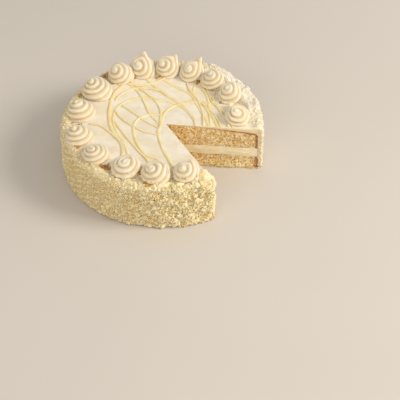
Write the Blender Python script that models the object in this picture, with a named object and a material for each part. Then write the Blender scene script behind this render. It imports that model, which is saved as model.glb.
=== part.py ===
# A round vanilla layer cake with one wedge cut out of it, at its real size in metres, +Z up.
# The origin is on the table, under the middle of the round cake. The wedge opens towards +X and -Y.
# Two sponge layers hold a cream filling between them. An icing coat covers the top and the side.
# Cream is drizzled in loops over the top, and cake crumbs are pressed into the side.
# A ring of piped rosettes stands on the rim.

import math

import bmesh
import bpy
import numpy as np
from mathutils import Matrix, Vector, geometry

# Heights above the table
BOTTOM_SPONGE_TOP = 0.0148
FILLING_TOP = 0.0277
TOP_SPONGE_EDGE = 0.0490  # the upper sponge at its baked edge
SPONGE_DOME = 0.0066  # how much higher it has risen in the middle
ICING_TOP = 0.0570
COAT_FOOT = 0.0006  # the coat hangs just clear of the table

# Radii about the Z axis
BOTTOM_SPONGE_RADIUS = 0.1125
FILLING_RADIUS = 0.1122
TOP_SPONGE_RADIUS = 0.1115
SPONGE_EDGE_ROUND = 0.0030
COAT_RADIUS = 0.1168  # mean face of the iced side, under the crumbs
COAT_EDGE_ROUND = 0.0035
COAT_RELIEF = 0.0012  # fine crumbs make its face rough
FULL_RADIUS = 0.1200  # over the outermost crumb
GAP = 0.0003  # between pieces that touch

# The wedge that was taken out: its tip, and the directions of the two cuts
WEDGE_TIP = Vector((0.0040, -0.0025))
CUT_A = math.radians(-5.6)
CUT_B = math.radians(-61.0 + 360.0)
CUT_RELIEF = 0.0004  # open crumb on a cut face
CREAM_RELIEF = 0.0003
FOOT_BULGE = 0.0040  # the lower sponge spreads at its foot, where the knife pressed
FOOT_BULGE_HEIGHT = 0.0090

# Facets
SPONGE_RIM_STEPS = 40
CUT_STEPS = 14
COAT_STEPS = 92
COAT_ROWS = 8
DOME_RINGS = (0.030, 0.060, 0.090)

# Drizzled cream: a strand is a flattened bead
STRAND_WIDTH = 0.0031
STRAND_HEIGHT = 0.0013
STRAND_ROOT = 0.0005
STRAND_STEP = 0.0085
STRAND_CLEARANCE = 0.0008

# Each strand runs through these points on the top, in millimetres
STRANDS = (
    ((-33, -72), (-37, -59), (-43, -37), (-54, -12), (-57, 12), (-49, 34), (-24, 45), (4, 38), (25, 25), (37, 4), (38, -20)),
    ((-24, 92), (-19, 80), (-12, 69), (2, 52), (18, 36), (31, 18), (38, 0), (40, -20)),
    ((-14, 96), (-2, 82), (12, 68), (31, 53), (39, 36), (46, 18), (53, -2), (56, -20)),
    ((40, 86), (38, 72), (36, 48), (47, 32), (55, 14), (56, -20)),
    ((38, 82), (46, 66), (53, 45), (55, 25), (61, 4), (68, -20)),
    ((46, 38), (60, 32), (69, 22), (80, 8)),
    ((46, 38), (33, 37), (14, 30), (3, 18), (-1, 0), (-4, -20), (1, -46), (9, -66), (14, -80)),
    ((0, 13), (-13, 14), (-28, 6), (-33, -12), (-28, -38), (-17, -58), (-4, -66), (4, -84)),
    ((-50, 82), (-38, 68), (-30, 57), (-22, 38), (-15, 16), (-4, -2)),
    ((-44, 80), (-33, 68), (-22, 56), (-8, 38), (-2, 18), (-3, -12)),
    ((-40, 84), (-48, 70), (-58, 52), (-62, 26), (-61, 0), (-53, -24), (-45, -42), (-44, -62), (-50, -78)),
    ((-86, -3), (-71, -7), (-57, -22), (-46, -38), (-42, -54)),
    ((-48, 30), (-37, 20), (-20, 2), (-5, -10)),
    ((-56, 22), (-47, 6), (-33, -8), (-20, -17), (-4, -23)),
    ((-55, 0), (-49, -11), (-38, -31), (-24, -54), (-16, -66), (-10, -84)),
    ((-56, 40), (-48, 53), (-30, 63), (-8, 60), (8, 47)),
    ((-66, 66), (-48, 73), (-28, 68), (-10, 74), (8, 88)),
)

# Crumbs that stand out of the coat
CRUMB_COUNT = 70
CRUMB_SIZES = (0.0028, 0.0044)
CRUMB_FLATNESS = 0.75
RIM_CRUMB_COUNT = 22

# Piped rosettes: direction from the middle in degrees, distance from it, radius and height; then
# the tail: its direction in degrees and distance from the rosette's middle, and its height
RING_OF_ROSETTES = (
    (5.0, 0.0885, 0.0144, 0.0170, 200.0, 0.003, 0.0010),
    (30.2, 0.0928, 0.0144, 0.0185, 60.0, 0.004, 0.0025),
    (50.9, 0.0943, 0.0144, 0.0185, 110.0, 0.004, 0.0025),
    (69.3, 0.0943, 0.0138, 0.0190, 25.0, 0.009, 0.0080),
    (86.4, 0.0965, 0.0140, 0.0200, 45.0, 0.010, 0.0040),
    (104.0, 0.0985, 0.0145, 0.0213, 78.0, 0.005, 0.0074),
    (121.5, 0.0980, 0.0149, 0.0213, 110.0, 0.003, 0.0015),
    (144.5, 0.0958, 0.0176, 0.0165, 130.0, 0.004, 0.0015),
    (171.0, 0.0960, 0.0160, 0.0168, 190.0, 0.004, 0.0015),
    (197.5, 0.0980, 0.0152, 0.0163, 150.0, 0.004, 0.0015),
    (219.4, 0.0947, 0.0152, 0.0150, 250.0, 0.004, 0.0015),
    (245.0, 0.0914, 0.0170, 0.0168, 20.0, 0.004, 0.0015),
    (267.4, 0.0928, 0.0168, 0.0180, 0.0, 0.006, 0.0015),
    (287.5, 0.0962, 0.0154, 0.0190, 30.0, 0.004, 0.0020),
)
ROSETTE_COLUMNS = 16
ROSETTE_HALF_TURNS = 9  # crest to groove, counted from the foot to the centre
ROSETTE_FULLNESS = 2.7  # 2 is an ellipsoid, more is squarer
RIDGE_DEPTH = 0.0020
CENTRE_DIP = 0.0015
TAIL_WIDTH = 0.0045


def clear_scene():
    for obj in list(bpy.data.objects):
        bpy.data.objects.remove(obj)


def material(name, colour, roughness):
    made = bpy.data.materials.new(name)
    made.use_nodes = True
    shader = made.node_tree.nodes["Principled BSDF"]
    shader.inputs["Base Color"].default_value = (*colour, 1.0)
    shader.inputs["Roughness"].default_value = roughness
    shader.inputs["Metallic"].default_value = 0.0
    return made


def add_object(name, points, faces, finish, collection=None, sharp=40.0):
    """A mesh object with its normals facing out, shaded smooth up to the sharp angle in degrees."""
    mesh = bpy.data.meshes.new(name)
    mesh.from_pydata([tuple(p) for p in points], [], faces)
    shape = bmesh.new()
    shape.from_mesh(mesh)
    bmesh.ops.recalc_face_normals(shape, faces=shape.faces)
    shape.to_mesh(mesh)
    shape.free()
    mesh.materials.append(finish)
    mesh.shade_smooth()
    mesh.set_sharp_from_angle(angle=math.radians(sharp))
    obj = bpy.data.objects.new(name, mesh)
    (collection or bpy.context.scene.collection).objects.link(obj)
    return obj


def direction(angle):
    return Vector((math.cos(angle), math.sin(angle)))


def cut_length(angle, radius):
    """How far a cut runs from the wedge's tip to the circle of this radius."""
    along = WEDGE_TIP.dot(direction(angle))
    return -along + math.sqrt(along * along + radius * radius - WEDGE_TIP.length_squared)


def rim_angles(radius, steps):
    """Angles about the Z axis from cut A round to cut B, where each cut meets the circle."""
    ends = []
    for cut in (CUT_A, CUT_B):
        corner = WEDGE_TIP + cut_length(cut, radius) * direction(cut)
        ends.append(math.atan2(corner.y, corner.x))
    return np.linspace(ends[0], ends[1] + 2 * math.pi, steps + 1)


def dome(radius):
    """Height of the upper sponge's top, a shallow parabola, at this distance from the Z axis."""
    return TOP_SPONGE_EDGE + SPONGE_DOME * (1 - (radius / TOP_SPONGE_RADIUS) ** 2)


def outline(radius, height, relief, draw):
    """One loop round a layer: out along cut A, round the rim and back along cut B.

    relief is the depth of the crags on the cut faces, and height is a number or a function of
    the distance from the Z axis."""
    normal_a = Vector((math.sin(CUT_A), -math.cos(CUT_A)))
    normal_b = Vector((-math.sin(CUT_B), math.cos(CUT_B)))
    lengths = [cut_length(CUT_A, radius), cut_length(CUT_B, radius)]
    level = height if callable(height) else lambda _: height

    def cut_point(cut, normal, length, share):
        flat = WEDGE_TIP + share * length * direction(cut)
        swell = math.sin(math.pi * share) ** 0.5 if 0 < share < 1 else 0.0
        foot = max(0.0, 1 - level(flat.length) / FOOT_BULGE_HEIGHT)
        return flat + normal * swell * (draw.uniform(-relief, relief) + FOOT_BULGE * foot)

    shares = [step / CUT_STEPS for step in range(CUT_STEPS)]
    flat = [cut_point(CUT_A, normal_a, lengths[0], share) for share in shares]
    flat += [radius * direction(angle) for angle in rim_angles(radius, SPONGE_RIM_STEPS)]
    flat += [cut_point(CUT_B, normal_b, lengths[1], share) for share in shares[:0:-1]]
    return [Vector((p.x, p.y, level(p.length))) for p in flat]


def domed_cap(loop, rings, height):
    """Inner points and triangles that close a loop, counted after the loop's own points.

    The inner points lie on rings about the Z axis, clear of the cuts."""
    inner = []
    for radius in rings:
        steps = max(6, round(radius / 0.014))
        inner += [radius * direction(angle) for angle in rim_angles(radius, steps)[1:-1]]
    flat = [p.xy for p in loop] + inner
    edges = [(i, (i + 1) % len(loop)) for i in range(len(loop))]
    made = geometry.delaunay_2d_cdt(flat, edges, [list(range(len(loop)))], 1, 1e-7)
    source = [found[0] for found in made[3]]
    triangles = [[source[corner] for corner in face] for face in made[2]]
    return [Vector((p.x, p.y, height(p.length))) for p in inner], triangles


def build_layer(name, levels, finish, relief, seed, domed=False):
    """A layer of the cake from loops stacked up it; levels lists each loop's radius and height."""
    draw = np.random.default_rng(seed)
    loops = [outline(radius, height, relief, draw) for radius, height in levels]
    count = len(loops[0])
    points = [p for loop in loops for p in loop]
    faces = [list(range(count))]
    for row in range(len(loops) - 1):
        low, high = row * count, (row + 1) * count
        for i in range(count):
            after = (i + 1) % count
            faces.append((low + i, low + after, high + after, high + i))
    start = len(points) - count
    if domed:
        inner, triangles = domed_cap(loops[-1], DOME_RINGS, dome)
        points += inner
        faces += [[start + corner for corner in face] for face in triangles]
    else:
        faces.append(list(range(start, start + count)))
    return add_object(name, points, faces, finish)


def build_sponge_and_filling(sponge, cream):
    middle = BOTTOM_SPONGE_TOP / 2
    build_layer(
        "sponge_bottom",
        [(BOTTOM_SPONGE_RADIUS, z) for z in (0.0, middle, BOTTOM_SPONGE_TOP)],
        sponge, CUT_RELIEF, 1,
    )
    low, high = BOTTOM_SPONGE_TOP + GAP, FILLING_TOP - GAP
    build_layer(
        "cream_filling",
        [(FILLING_RADIUS, z) for z in (low, (low + high) / 2, high)],
        cream, CREAM_RELIEF, 2,
    )
    shoulder = TOP_SPONGE_EDGE - SPONGE_EDGE_ROUND
    build_layer(
        "sponge_top",
        [
            (TOP_SPONGE_RADIUS, FILLING_TOP),
            (TOP_SPONGE_RADIUS, (FILLING_TOP + shoulder) / 2),
            (TOP_SPONGE_RADIUS, shoulder),
            (TOP_SPONGE_RADIUS - SPONGE_EDGE_ROUND, dome),
        ],
        sponge, CUT_RELIEF, 3, domed=True,
    )


def coat_chain(radius, height, draw=None):
    """One open chain of points round the coat, from cut A to cut B, roughened where draw is given."""
    angles = rim_angles(radius, COAT_STEPS)
    chain = []
    for step, angle in enumerate(angles):
        reach, level = radius, height
        if draw:
            reach += draw.uniform(-COAT_RELIEF, COAT_RELIEF)
            level += draw.uniform(-0.3, 0.3) * ICING_TOP / COAT_ROWS
            if 0 < step < COAT_STEPS:
                angle += draw.uniform(-0.3, 0.3) * (angles[1] - angles[0])
        spot = reach * direction(angle)
        if step in (0, COAT_STEPS):
            cut = CUT_A if step == 0 else CUT_B
            spot = WEDGE_TIP + cut_length(cut, reach) * direction(cut)
        chain.append(Vector((spot.x, spot.y, level)))
    return chain


def coat_chains():
    """The coat's section, chain by chain: over the edge, down the crumbed side and up inside."""
    draw = np.random.default_rng(4)
    chains = []
    for tilt in (90, 60, 30):
        bend = math.radians(tilt)
        reach = COAT_RADIUS - COAT_EDGE_ROUND * (1 - math.cos(bend))
        level = ICING_TOP - COAT_EDGE_ROUND * (1 - math.sin(bend))
        chains.append(coat_chain(reach, level))
    top = ICING_TOP - COAT_EDGE_ROUND
    for row in range(COAT_ROWS):
        level = top + (COAT_FOOT - top) * (row + 0.3) / COAT_ROWS
        chains.append(coat_chain(COAT_RADIUS, level, draw))
    chains.append(coat_chain(COAT_RADIUS, COAT_FOOT))
    lower, upper = BOTTOM_SPONGE_RADIUS + GAP, TOP_SPONGE_RADIUS + GAP
    chains.append(coat_chain(lower, COAT_FOOT))
    chains.append(coat_chain(lower, FILLING_TOP - GAP))
    chains.append(coat_chain(upper, FILLING_TOP + GAP))
    chains.append(coat_chain(upper, TOP_SPONGE_EDGE - SPONGE_EDGE_ROUND + GAP))
    under = upper - SPONGE_EDGE_ROUND
    chains.append(coat_chain(under, dome(under) + 2 * GAP))
    return chains


def cut_spots(cut):
    """Points under the icing along a cut, from the outside in, where the rings cross it."""
    spots = []
    for radius in reversed(DOME_RINGS):
        spot = WEDGE_TIP + cut_length(cut, radius) * direction(cut)
        spots.append(Vector((spot.x, spot.y, dome(radius) + 2 * GAP)))
    return spots


def build_coat(finish):
    """The icing as one shell: a flat top, a crumbed side and a hollow that the cake fills."""
    chains = coat_chains()
    width = COAT_STEPS + 1
    points = [p for chain in chains for p in chain]
    faces = []
    for row in range(len(chains) - 1):
        low, high = row * width, (row + 1) * width
        faces += [(low + i, low + i + 1, high + i + 1, high + i) for i in range(COAT_STEPS)]
    tip_above = len(points)
    points.append(Vector((*WEDGE_TIP, ICING_TOP)))
    faces.append([tip_above, *range(width)])

    last = (len(chains) - 1) * width
    spots_a, spots_b = cut_spots(CUT_A), cut_spots(CUT_B)
    tip_under = Vector((*WEDGE_TIP, dome(WEDGE_TIP.length) + 2 * GAP))
    loop = [tip_under, *reversed(spots_a), *chains[-1], *spots_b]
    first = len(points)
    along_a = list(range(first + 1, first + 1 + len(spots_a)))
    along_b = list(range(first + 1 + len(spots_a), first + 1 + len(spots_a) + len(spots_b)))
    loop_index = [first, *along_a, *range(last, last + width), *along_b]
    points += [tip_under, *reversed(spots_a), *spots_b]
    inner, triangles = domed_cap(loop, DOME_RINGS, lambda radius: dome(radius) + 2 * GAP)
    loop_index += range(len(points), len(points) + len(inner))
    points += inner
    faces += [[loop_index[corner] for corner in face] for face in triangles]

    section_a = [row * width for row in range(len(chains))]
    section_b = [row * width + COAT_STEPS for row in range(len(chains))]
    faces.append([tip_above, *section_a, *reversed(along_a), first])
    faces.append([tip_above, *section_b, *along_b, first])
    return add_object("icing_coat", points, faces, finish)


def smooth_path(spots, step):
    """Points about a step apart on the Catmull-Rom curve through the spots."""
    knots = [2 * spots[0] - spots[1], *spots, 2 * spots[-1] - spots[-2]]
    path = []
    for before, start, end, after in zip(knots, knots[1:], knots[2:], knots[3:]):
        pieces = max(1, round((end - start).length / step))
        for piece in range(pieces):
            t = piece / pieces
            path.append(
                0.5 * (2 * start + (end - before) * t
                       + (2 * before - 5 * start + 4 * end - after) * t * t
                       + (3 * start - before - 3 * end + after) * t ** 3)
            )
    path.append(spots[-1])
    return path


def clear_of_rosettes_and_cuts(spot):
    """Whether a strand can lie here: on the cake, and clear of each rosette's foot."""
    for cut, side in ((CUT_A, 1), (CUT_B, -1)):
        ahead = spot - WEDGE_TIP
        across = side * (direction(cut).x * ahead.y - direction(cut).y * ahead.x)
        if ahead.dot(direction(cut)) > 0 and -0.04 < across < STRAND_CLEARANCE:
            return False
    margin = STRAND_WIDTH / 2 + STRAND_CLEARANCE
    for angle, distance, radius, *_ in RING_OF_ROSETTES:
        foot = distance * direction(math.radians(angle))
        if (spot - foot).length < radius + margin:
            return False
    return spot.length < COAT_RADIUS - COAT_EDGE_ROUND - STRAND_WIDTH


def add_strand(name, path, finish, collection):
    """A bead of cream: a four-sided section carried along the path, sunk a little into the top."""
    half = STRAND_WIDTH / 2
    section = [
        (-half, -STRAND_ROOT), (-0.4 * half, STRAND_HEIGHT),
        (0.4 * half, STRAND_HEIGHT), (half, -STRAND_ROOT),
    ]
    points = []
    for i, spot in enumerate(path):
        ahead = (path[min(i + 1, len(path) - 1)] - path[max(i - 1, 0)]).normalized()
        across = Vector((-ahead.y, ahead.x))
        for side, rise in section:
            flat = spot + side * across
            points.append((flat.x, flat.y, ICING_TOP + rise))
    sides = len(section)
    faces = [list(range(sides)), list(range(len(points) - sides, len(points)))]
    for row in range(len(path) - 1):
        low = row * sides
        for i in range(sides):
            after = (i + 1) % sides
            faces.append((low + i, low + after, low + sides + after, low + sides + i))
    add_object(name, points, faces, finish, collection)


def add_drizzle(finish, collection):
    """Every strand, broken where a rosette or the missing wedge is in its way."""
    fine = 0.001
    for number, spots in enumerate(STRANDS):
        runs, run = [], []
        for spot in smooth_path([Vector(spot) / 1000 for spot in spots], fine):
            if clear_of_rosettes_and_cuts(spot):
                run.append(spot)
            else:
                runs.append(run)
                run = []
        runs.append(run)
        for part, kept in enumerate(runs):
            steps = round(len(kept) * fine / STRAND_STEP)
            if steps > 0:
                places = np.linspace(0, len(kept) - 1, steps + 1).round().astype(int)
                path = [kept[place] for place in places]
                add_strand(f"strand_{number}_{part}", path, finish, collection)


def add_crumb(name, place, outward, size, draw, finish, collection):
    """A cake crumb: an uneven icosahedron, flattened against the coat that it is pressed into."""
    shape = bmesh.new()
    bmesh.ops.create_icosphere(shape, subdivisions=1, radius=size)
    stretch = Matrix.Diagonal((draw.uniform(0.8, 1.2), draw.uniform(0.7, 1.0), CRUMB_FLATNESS, 1.0))
    turn = outward.to_track_quat("Z", "Y").to_matrix().to_4x4()
    turn @= Matrix.Rotation(draw.uniform(0, 2 * math.pi), 4, "Z")
    bmesh.ops.transform(shape, matrix=Matrix.Translation(place) @ turn @ stretch, verts=shape.verts)
    points = [v.co.copy() for v in shape.verts]
    faces = [[v.index for v in face.verts] for face in shape.faces]
    shape.free()
    add_object(name, points, faces, finish, collection)


def add_crumbs(finish, collection):
    """The largest crumbs, spread evenly over the side by the golden ratio, and along the rim."""
    draw = np.random.default_rng(5)
    ends = rim_angles(COAT_RADIUS, 1) + np.radians((3.0, -3.0))
    golden = (math.sqrt(5) - 1) / 2
    for number in range(CRUMB_COUNT):
        angle = ends[0] + (ends[1] - ends[0]) * (number + 0.5) / CRUMB_COUNT
        level = 0.006 + 0.046 * ((number * golden) % 1.0)
        size = draw.uniform(*CRUMB_SIZES)
        spot = (FULL_RADIUS - CRUMB_FLATNESS * size) * direction(angle)
        outward = Vector((*direction(angle), 0.0))
        add_crumb(f"crumb_{number}", (*spot, level), outward, size, draw, finish, collection)
    for number in range(RIM_CRUMB_COUNT):
        angle = ends[0] + (ends[1] - ends[0]) * (number + 0.5) / RIM_CRUMB_COUNT
        spot = (COAT_RADIUS - 0.0025) * direction(angle)
        size = draw.uniform(*CRUMB_SIZES)
        near = min(
            (spot - row[1] * direction(math.radians(row[0]))).length - row[2]
            for row in RING_OF_ROSETTES
        )
        if near > 1.2 * size + GAP:
            outward = Vector((*direction(angle), 1.0))
            place = (*spot, ICING_TOP - 0.0005)
            add_crumb(f"rim_crumb_{number}", place, outward, size, draw, finish, collection)


def reach_full_size(coat):
    """Brings the outermost point on each side out to the full radius."""
    for axis in (0, 1):
        for side in (1, -1):
            outermost = max(coat.data.vertices, key=lambda v: side * v.co[axis])
            outermost.co[axis] = side * FULL_RADIUS


def fuse(coat, collection):
    """Joins what lies on the coat to it with one Boolean union."""
    union = coat.modifiers.new("fused toppings", "BOOLEAN")
    union.operation = "UNION"
    union.operand_type = "COLLECTION"
    union.collection = collection
    union.solver = "MANIFOLD"
    bpy.context.view_layer.objects.active = coat
    bpy.ops.object.modifier_apply(modifier=union.name)
    for obj in list(collection.objects):
        bpy.data.objects.remove(obj)
    bpy.data.collections.remove(collection)


def rosette_point(radius, height, share, azimuth, crest):
    """A point on a rosette, at this share of the way from its foot up to its centre.

    The form is a full dome seen from the middle of its foot, with a dip at the centre. A ridge's
    crest stands out from it and a groove lies in it."""
    rise = math.pi / 2 * share
    power = ROSETTE_FULLNESS
    reach = ((math.cos(rise) / radius) ** power + (math.sin(rise) / height) ** power) ** (-1 / power)
    reach += RIDGE_DEPTH / 2 * (crest * (1 - share ** 3) - 1) - CENTRE_DIP * share ** 8
    flat = reach * math.cos(rise) * direction(azimuth)
    return Vector((flat.x, flat.y, reach * math.sin(rise)))


def build_rosette(name, row, finish, turn):
    """Piped cream. Its ridges wind up one spiral, so each column of points starts a little higher."""
    angle, distance, radius, height, tail_angle, tail_reach, tail = row
    index, points, faces = {}, [], []

    def corner(half_turn, column):
        half_turn += 2 * (column // ROSETTE_COLUMNS)
        column %= ROSETTE_COLUMNS
        share = (half_turn + 2 * column / ROSETTE_COLUMNS) / ROSETTE_HALF_TURNS
        share = 0.0 if share < 0.03 else 1.0 if share > 0.93 else share
        key = (0 if share == 1 else column, round(share, 6))
        if key not in index:
            azimuth = turn + 2 * math.pi * column / ROSETTE_COLUMNS
            crest = -1 if half_turn % 2 == 0 else 1
            spot = rosette_point(radius, height, share, azimuth, crest)
            index[key] = len(points)
            points.append(spot)
        return index[key]

    for half_turn in range(-2, ROSETTE_HALF_TURNS):
        for column in range(ROSETTE_COLUMNS):
            face = [
                corner(half_turn, column), corner(half_turn, column + 1),
                corner(half_turn + 1, column + 1), corner(half_turn + 1, column),
            ]
            face = list(dict.fromkeys(face))
            if len(face) > 2:
                faces.append(face)
    foot = [index[(column, 0.0)] for column in range(ROSETTE_COLUMNS)]
    faces.append(foot)

    lift_tail(points, height, tail_reach * direction(math.radians(tail_angle)), tail)
    place = distance * direction(math.radians(angle))
    obj = add_object(name, points, faces, finish)
    obj.location = (place.x, place.y, ICING_TOP + GAP)
    return obj


def lift_tail(points, height, lean, tail):
    """Draws the cream up where the nozzle left it, into a tail that leans the way the nozzle went."""
    wanted = Vector((lean.x, lean.y, 0.9 * height))
    nearest = min(points, key=lambda p: (p - wanted).length).copy()
    for p in points:
        pull = math.exp(-((p - nearest).length / TAIL_WIDTH) ** 2)
        p += pull * Vector((0.5 * lean.x, 0.5 * lean.y, tail))


def build_rosettes(finish):
    draw = np.random.default_rng(6)
    for number, row in enumerate(RING_OF_ROSETTES, 1):
        build_rosette(f"rosette_{number:02d}", row, finish, draw.uniform(0, 2 * math.pi))


def main():
    clear_scene()
    sponge = material("sponge", (0.62, 0.40, 0.13), 0.9)
    filling = material("cream filling", (0.87, 0.80, 0.60), 0.6)
    coat = material("icing and crumbs", (0.85, 0.76, 0.48), 0.7)
    piped = material("piped cream", (0.90, 0.82, 0.58), 0.55)
    build_sponge_and_filling(sponge, filling)
    icing = build_coat(coat)
    toppings = bpy.data.collections.new("toppings to fuse")
    bpy.context.scene.collection.children.link(toppings)
    add_drizzle(coat, toppings)
    add_crumbs(coat, toppings)
    fuse(icing, toppings)
    reach_full_size(icing)
    build_rosettes(piped)


main()
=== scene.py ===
# A round vanilla layer cake with a wedge cut out, as a baker would build it up: two sponge layers
# with cream between them, icing over all, cream drizzled on top, crumbs pressed into the side and
# a ring of rosettes. Metres, +Z up, the origin on the table under the middle of the cake.
import math

import bmesh
import bpy
import numpy as np
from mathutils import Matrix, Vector


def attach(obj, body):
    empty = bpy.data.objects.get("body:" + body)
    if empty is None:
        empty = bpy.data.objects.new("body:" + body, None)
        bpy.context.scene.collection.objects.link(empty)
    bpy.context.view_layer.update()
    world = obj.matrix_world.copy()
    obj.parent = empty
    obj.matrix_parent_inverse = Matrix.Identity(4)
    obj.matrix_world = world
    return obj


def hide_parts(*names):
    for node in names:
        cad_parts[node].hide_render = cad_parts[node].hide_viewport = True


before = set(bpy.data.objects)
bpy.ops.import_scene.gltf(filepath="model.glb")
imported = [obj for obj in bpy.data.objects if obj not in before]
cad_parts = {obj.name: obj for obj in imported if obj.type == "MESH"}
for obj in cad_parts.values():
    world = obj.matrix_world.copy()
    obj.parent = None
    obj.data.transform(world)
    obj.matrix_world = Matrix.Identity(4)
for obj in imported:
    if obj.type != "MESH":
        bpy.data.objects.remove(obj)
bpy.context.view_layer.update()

# Sponge layers
# Two rounds of golden butter sponge. The knife opened their crumb on the two cut faces: holes of
# 1 to 2 mm, paler torn lumps, and a thin brown crust where the tin and the oven's heat met it.

# GAP keeps neighbours apart, SHOULDER rounds the upper layer's edge, a pit reaches PIT_REACH of its
# size from its centre, the crust is full over CRUST and then fades, and the lower layer's foot
# spreads by FOOT_SPREAD, which dies away up to FOOT_RISE.
WEDGE_TIP = np.array([0.0040, -0.0025])
CUT_A = math.radians(-5.6)
CUT_B = math.radians(299.0)
GAP = 0.0003
SPONGE_RADII = {"sponge_bottom": 0.1125, "sponge_top": 0.1115}
LOWER_TOP = 0.0148
FILLING_TOP = 0.0277
UPPER_EDGE = 0.0490
DOME = 0.0066
SHOULDER = 0.003
LARGE_PIT, SMALL_PIT, PIT_REACH = 0.0026, 0.0014, 0.45
LARGE_DEPTH, SMALL_DEPTH = 0.0013, 0.0006
CRUST, CRUST_FADE = 0.0016, {"sponge_bottom": 0.0042, "sponge_top": 0.0028}
FOOT_SPREAD, FOOT_RISE = 0.0040, 0.009


def polar(angle):
    """Unit vectors (cosine, sine) along the last axis."""
    return np.stack([np.cos(angle), np.sin(angle)], axis=-1)


CUT_NORMALS = (
    np.array([math.sin(CUT_A), -math.cos(CUT_A), 0.0]),
    np.array([-math.sin(CUT_B), math.cos(CUT_B), 0.0]),
)


def cut_corner(cut, radius):
    """Where a cut meets the circle of each radius: tip + s d, where d is the cut's direction and
    s = -tip.d + sqrt((tip.d)^2 + radius^2 - tip.tip)."""
    along = WEDGE_TIP @ polar(cut)
    reach = -along + np.sqrt(along**2 + radius**2 - WEDGE_TIP @ WEDGE_TIP)
    return WEDGE_TIP + reach[..., None] * polar(cut)


def cake_plan(turn, out, radius):
    """Points seen from above: tip + out (rim - tip), where rim goes round the circle from cut A
    (turn 0) to cut B (turn 1)."""
    first, last = cut_corner(CUT_A, radius), cut_corner(CUT_B, radius)
    start = np.arctan2(first[:, 1], first[:, 0])
    end = np.arctan2(last[:, 1], last[:, 0]) + 2 * math.pi
    rim = radius[:, None] * polar(start + turn * (end - start))
    return WEDGE_TIP + out[:, None] * (rim - WEDGE_TIP)


def add_mesh(name, points, *faces):
    """A smooth-shaded mesh object from arrays of points and of faces, its normals facing out."""
    mesh = bpy.data.meshes.new(name)
    mesh.from_pydata(points.tolist(), [], [corners for part in faces for corners in part.tolist()])
    shape = bmesh.new()
    shape.from_mesh(mesh)
    bmesh.ops.recalc_face_normals(shape, faces=shape.faces)
    shape.to_mesh(mesh)
    shape.free()
    mesh.shade_smooth()
    obj = bpy.data.objects.new(name, mesh)
    bpy.context.scene.collection.objects.link(obj)
    return obj


def quads(grid):
    """Four-cornered faces between the neighbours of a grid of point numbers."""
    return np.stack([grid[:-1, :-1], grid[1:, :-1], grid[1:, 1:], grid[:-1, 1:]], axis=-1).reshape(-1, 4)


def block_shell(name, place, counts):
    """The skin of a block of cells, bent into shape by place(turn, out, up) with arrays from 0 to 1.

    Points with out = 0 lie on the line above the wedge's tip, so those of one height are one point."""
    rounds, outs, ups = counts
    skin = np.zeros((rounds + 1, outs + 1, ups + 1), bool)
    skin[[0, -1]] = skin[:, -1] = skin[:, :, 0] = skin[:, :, -1] = True
    skin[:, 0] = False
    skin[0, 0] = True
    number = np.full(skin.shape, -1)
    number[skin] = np.arange(skin.sum())
    number[:, 0] = number[0, 0]
    turn, out, up = (axis[skin] / count for axis, count in zip(np.indices(skin.shape), counts))
    sides = [number[0], number[-1], number[:, -1], number[:, 1:, 0], number[:, 1:, -1]]
    tips = [
        np.stack([np.full(rounds, number[0, 0, k]), number[:-1, 1, k], number[1:, 1, k]], axis=-1)
        for k in (0, -1)
    ]
    return add_mesh(name, place(turn, out, up), *[quads(side) for side in sides], *tips)


def hashed(cells, seed):
    """A fixed random number from 0 to 1 for each cell, made by multiplying and folding its bits."""
    x, y, z = (cells[..., axis].astype(np.int64) for axis in range(3))
    mixed = (x * 374761393 + y * 668265263 + z * 1442695041 + seed * 1274126177) & 0xFFFFFFFF
    mixed = ((mixed ^ (mixed >> 13)) * 1274126177) & 0xFFFFFFFF
    mixed = ((mixed ^ (mixed >> 16)) * 2246822519) & 0xFFFFFFFF
    return ((mixed ^ (mixed >> 15)) & 0xFFFFFF) / 0xFFFFFF


def cloud(points, size, seed):
    """Smooth noise from -1 to 1: random values at the corners of cubes of this size, blended by
    3t^2 - 2t^3 along each axis."""
    place = points / size
    cell = np.floor(place).astype(np.int64)
    t = place - cell
    t = t * t * (3 - 2 * t)
    total = 0.0
    for corner in np.ndindex(2, 2, 2):
        share = np.prod(np.where(np.array(corner, bool), t, 1 - t), axis=-1)
        total = total + share * hashed(cell + np.array(corner), seed)
    return 2 * total - 1


def pits(points, size, seed):
    """How deep each point lies in a round pit, 0 to 1: 1 - d / PIT_REACH, where d is the distance, in
    sizes, to the nearest of the random centres of which every cube of a grid holds one."""
    place = points / size
    cell = np.floor(place).astype(np.int64)
    nearest = np.full(points.shape[:-1], 9.0)
    for step in np.ndindex(3, 3, 3):
        near = cell + np.array(step) - 1
        centre = near + np.stack([hashed(near, seed + axis) for axis in range(3)], axis=-1)
        nearest = np.minimum(nearest, np.linalg.norm(centre - place, axis=-1))
    return np.clip(1 - nearest / PIT_REACH, 0, 1)


def dome_height(spots):
    """Height of the upper sponge's top: its edge plus DOME (1 - (r / R)^2)."""
    return UPPER_EDGE + DOME * (1 - (spots**2).sum(axis=-1) / SPONGE_RADII["sponge_top"] ** 2)


def cut_side(turn):
    """The outward normal of the cut that a point lies on, or zeros away from both."""
    return (turn < 1e-6)[:, None] * CUT_NORMALS[0] + (turn > 1 - 1e-6)[:, None] * CUT_NORMALS[1]


def smooth(value, low, high):
    """0 below low, 1 above high, and 3t^2 - 2t^3 between."""
    t = np.clip((value - low) / (high - low), 0, 1)
    return t * t * (3 - 2 * t)


def paint(obj, **layers):
    """Keeps one number for each vertex under a name that a material reads."""
    for name, values in layers.items():
        layer = obj.data.attributes.new(name, "FLOAT", "POINT")
        layer.data.foreach_set("value", np.asarray(values, np.float32))


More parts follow.
